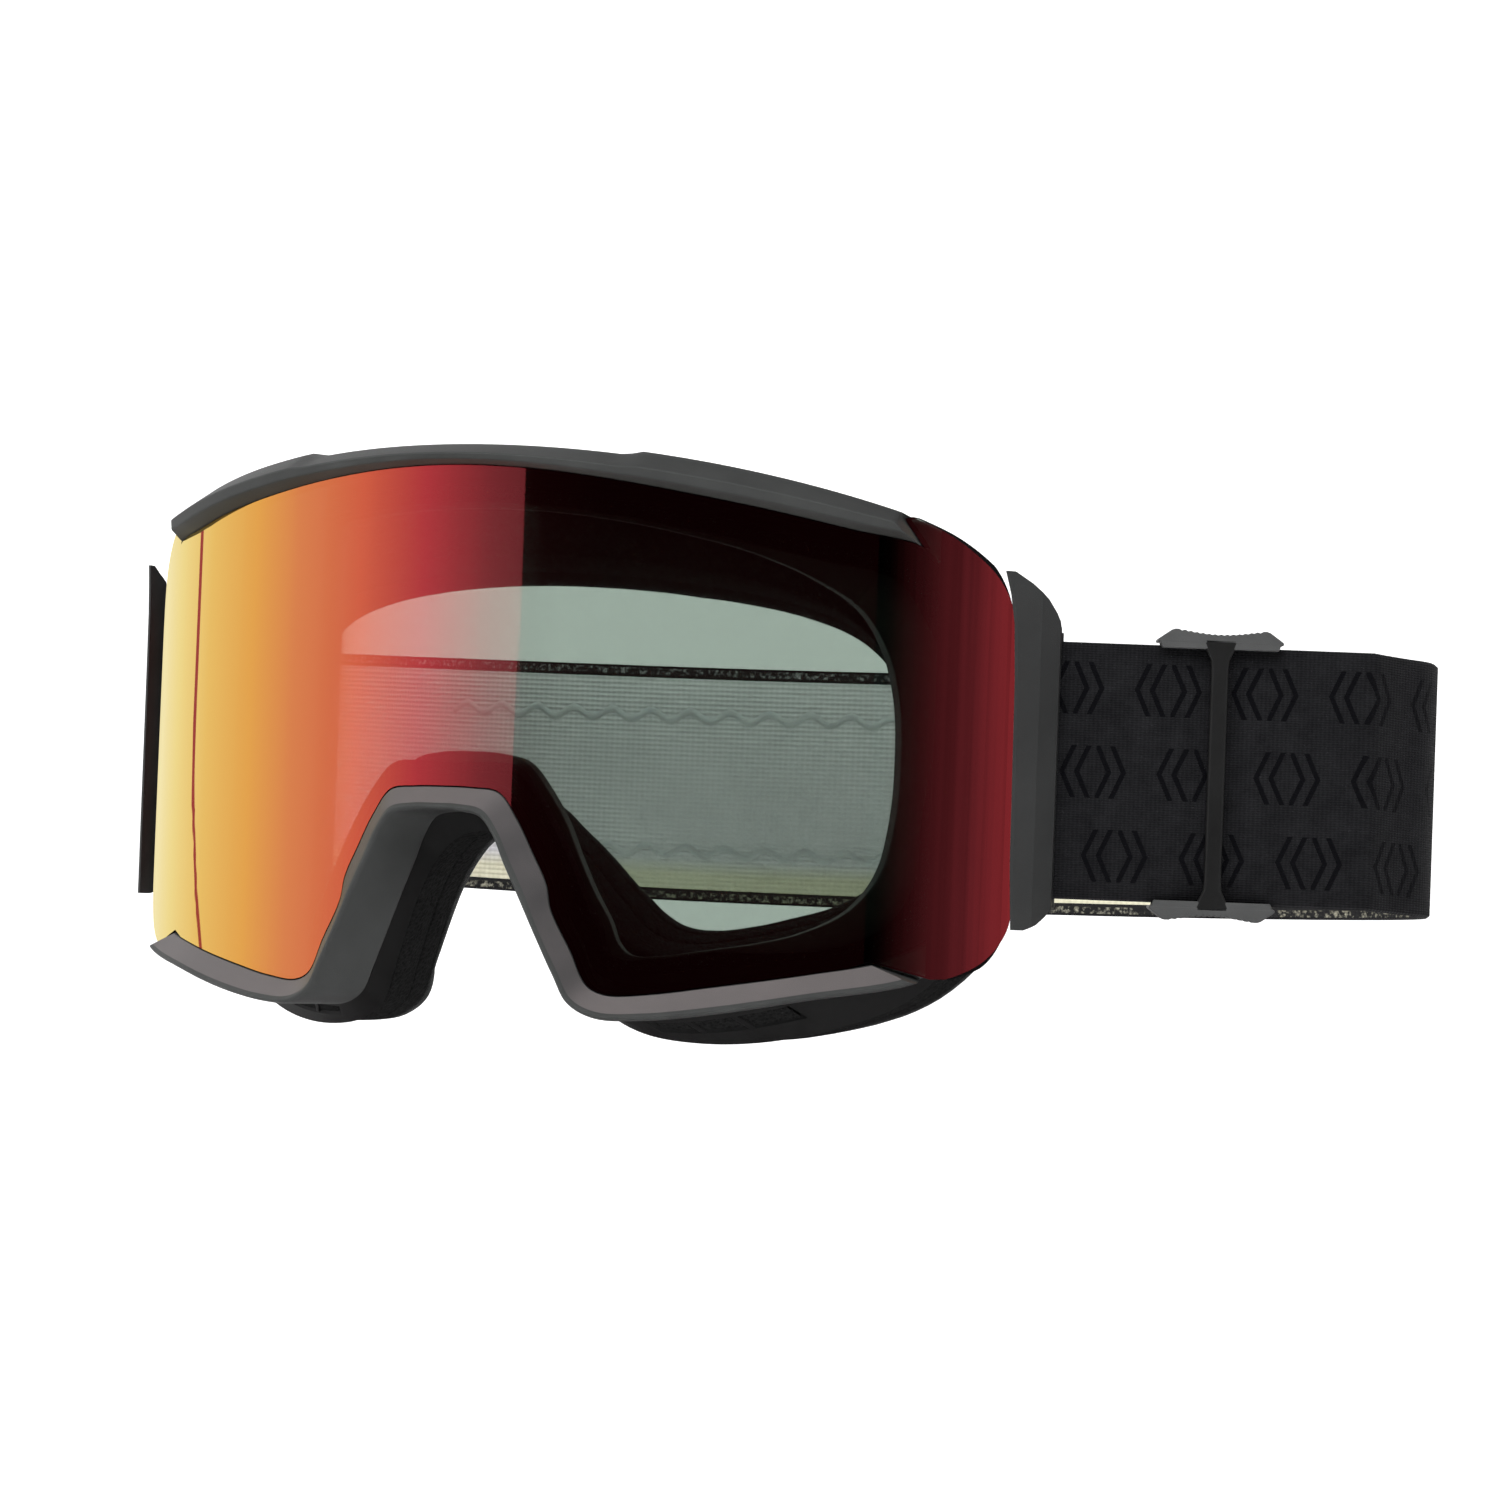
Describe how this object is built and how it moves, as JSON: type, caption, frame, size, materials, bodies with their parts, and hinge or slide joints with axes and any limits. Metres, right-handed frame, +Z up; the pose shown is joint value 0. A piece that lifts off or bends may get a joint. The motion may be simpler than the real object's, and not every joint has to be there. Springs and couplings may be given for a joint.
{
  "type": "ski goggles",
  "caption": "Ski goggles with a magnetic cylindrical mirror lens, face foam, hinged strap outriggers and an elastic strap with sliders.",
  "frame": {"origin": "middle of the face foam's back, where it meets the bridge of the brow, on the plane of symmetry of the goggles", "axes": "+Z up, -Y is the way the wearer looks, +X is the wearer's left"},
  "size_m": [0.2548, 0.1234, 0.1028],
  "materials": {
    "mirror_lens": "red to orange multilayer mirror on a grey-green tint",
    "clear_pane": "clear, anti-fog coated",
    "lens_carrier": "matt black",
    "gasket_foam": "closed-cell foam strip",
    "frame_tpu": "matt dark grey moulded polyurethane",
    "slider_nylon": "satin dark grey",
    "flange_tpu": "soft matt black",
    "face_foam": "open-cell foam",
    "fleece": "brushed fleece",
    "strap_fabric": "woven elastic, tone-on-tone jacquard outside, cream inside",
    "silicone": "matt silicone print",
    "magnet_steel": "nickel plated",
    "pin_steel": "drawn"
  },
  "bodies": {
    "frame": {"frame": "frame_tpu", "face_flange": "flange_tpu", "vent_filter_top": "face_foam", "vent_filter_right": "face_foam", "vent_filter_left": "face_foam", "foam_base": "face_foam", "foam_middle": "face_foam", "foam_face": "fleece", "hinge_pin_right": "pin_steel", "hinge_pin_left": "pin_steel", "strap_rear": "strap_fabric", "grip_strip_upper": "silicone", "grip_strip_lower": "silicone", "frame_magnet_1": "magnet_steel", "frame_magnet_2": "magnet_steel", "frame_magnet_3": "magnet_steel", "frame_magnet_4": "magnet_steel"},
    "lens": {"lens_outer": "mirror_lens", "lens_carrier": "lens_carrier", "lens_gasket": "gasket_foam", "lens_inner": "clear_pane", "lens_magnet_1": "magnet_steel", "lens_magnet_2": "magnet_steel", "lens_magnet_3": "magnet_steel", "lens_magnet_4": "magnet_steel"},
    "outrigger_right": {"outrigger_right": "frame_tpu", "strap_end_right": "strap_fabric"},
    "outrigger_left": {"outrigger_left": "frame_tpu", "strap_end_left": "strap_fabric"},
    "slider_right": {"slider_right": "slider_nylon"},
    "slider_left": {"slider_left": "slider_nylon"}
  },
  "joints": [
    {"name": "lens_pull_off", "type": "slide", "parent": "frame", "child": "lens", "axis": [0, -1, 0], "range_m": [0, 0.06]},
    {"name": "outrigger_right_hinge", "type": "hinge", "parent": "frame", "child": "outrigger_right", "pos_m": [0.0846, 0.0142, 0], "axis": [0, 0, 1], "range_deg": [-5, 18]},
    {"name": "outrigger_left_hinge", "type": "hinge", "parent": "frame", "child": "outrigger_left", "pos_m": [-0.0846, 0.0142, 0], "axis": [0, 0, 1], "range_deg": [-18, 5]},
    {"name": "slider_right_slide", "type": "slide", "parent": "outrigger_right", "child": "slider_right", "axis": [0.9, 0.436, 0], "range_m": [-0.01, 0.012]},
    {"name": "slider_left_slide", "type": "slide", "parent": "outrigger_left", "child": "slider_left", "axis": [-0.2501, 0.9682, 0], "range_m": [-0.01, 0.005]}
  ]
}
